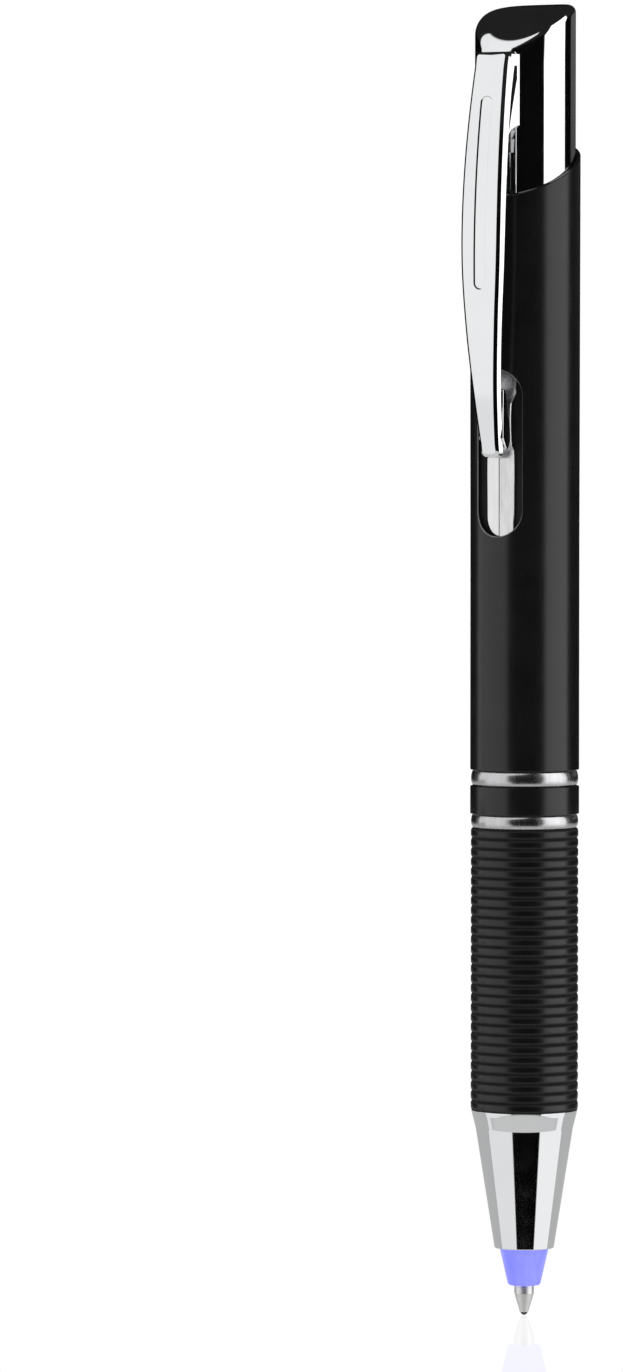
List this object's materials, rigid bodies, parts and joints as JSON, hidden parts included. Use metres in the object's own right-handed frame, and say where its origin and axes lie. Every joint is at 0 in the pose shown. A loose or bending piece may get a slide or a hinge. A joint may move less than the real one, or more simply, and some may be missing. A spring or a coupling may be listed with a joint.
{
  "type": "counterfeit detector pen",
  "caption": "Click ball pen with an ultraviolet light tip round the point, ribbed grip, slotted barrel and a clip on the sliding clicker.",
  "frame": {"origin": "writing point: the lowest point of the ball, with the point out", "axes": "+Z along the pen from the writing point to the clicker, -Y towards the clip, +X across the pen"},
  "size_m": [0.0118, 0.0151, 0.1403],
  "materials": {
    "chrome": "bright chrome plate",
    "black_anodised": "satin black anodised",
    "grip_rubber": "matte black",
    "violet_clear_plastic": "translucent violet blue, lit from inside",
    "nickel_silver": "fine turned nickel silver",
    "ball_carbide": "polished",
    "cell_steel": "nickel-plated steel",
    "spring_steel": "drawn wire",
    "brass": "plain brass",
    "black_plastic": "moulded",
    "white_plastic": "moulded acetal",
    "board": "circuit board",
    "lamp_plastic": "clear lamp body",
    "resistor": "ceramic",
    "red_lead": "insulation"
  },
  "bodies": {
    "front_section": {"nose_cone": "chrome", "light_tip": "violet_clear_plastic", "led_board": "board", "uv_leds": "lamp_plastic", "board_resistor": "resistor", "lead_wires": "red_lead", "spring_seat": "brass", "return_spring": "spring_steel", "contact_ring": "brass", "grip_core": "black_plastic", "grip_sleeve": "grip_rubber", "lower_ring": "chrome", "centre_band": "black_anodised", "upper_ring": "chrome"},
    "refill_carriage": {"refill_tip": "nickel_silver", "ink_tube": "cell_steel", "battery_sleeve": "black_plastic", "button_cell_1": "cell_steel", "button_cell_2": "cell_steel", "button_cell_3": "cell_steel", "battery_spring": "spring_steel", "contact_strip": "brass", "battery_cap": "brass"},
    "ball": {"writing_ball": "ball_carbide"},
    "rear_section": {"rear_barrel": "black_anodised", "barrel_bush": "brass", "cam_sleeve": "black_plastic"},
    "plunger": {"plunger_cap": "chrome", "plunger_stem": "white_plastic", "clip_tongue": "chrome"},
    "rotor": {"rotor_cam": "white_plastic"},
    "clip_arm": {"clip": "chrome"}
  },
  "joints": [
    {"name": "barrel_lift", "type": "slide", "parent": "front_section", "child": "rear_section", "axis": [0, 0, 1], "range_m": [0, 0.03]},
    {"name": "plunger_slide", "type": "slide", "parent": "rear_section", "child": "plunger", "axis": [0, 0, 1], "range_m": [-0.0008, 0.0043]},
    {"name": "rotor_turn", "type": "hinge", "parent": "plunger", "child": "rotor", "pos_m": [0, 0, 0.0895], "axis": [0, 0, 1], "range_deg": [-8.5, 45.1]},
    {"name": "clip_flex", "type": "hinge", "parent": "plunger", "child": "clip_arm", "pos_m": [0, -0.0054, 0.13525], "axis": [-1, 0, 0], "range_deg": [0, 4], "stiffness_Nm_per_rad": 3},
    {"name": "refill_slide", "type": "slide", "parent": "front_section", "child": "refill_carriage", "axis": [0, 0, 1], "range_m": [-0.0008, 0.0043], "deforming": ["return_spring"]},
    {"name": "ball_roll", "type": "hinge", "parent": "refill_carriage", "child": "ball", "pos_m": [0, 0, 0.0004], "axis": [1, 0, 0], "continuous": true}
  ],
  "couplings": [
    {"joint": "refill_slide", "follows": "plunger_slide", "ratio": 1},
    {"joint": "rotor_turn", "follows": "plunger_slide", "rad_per_m": 182.65}
  ]
}
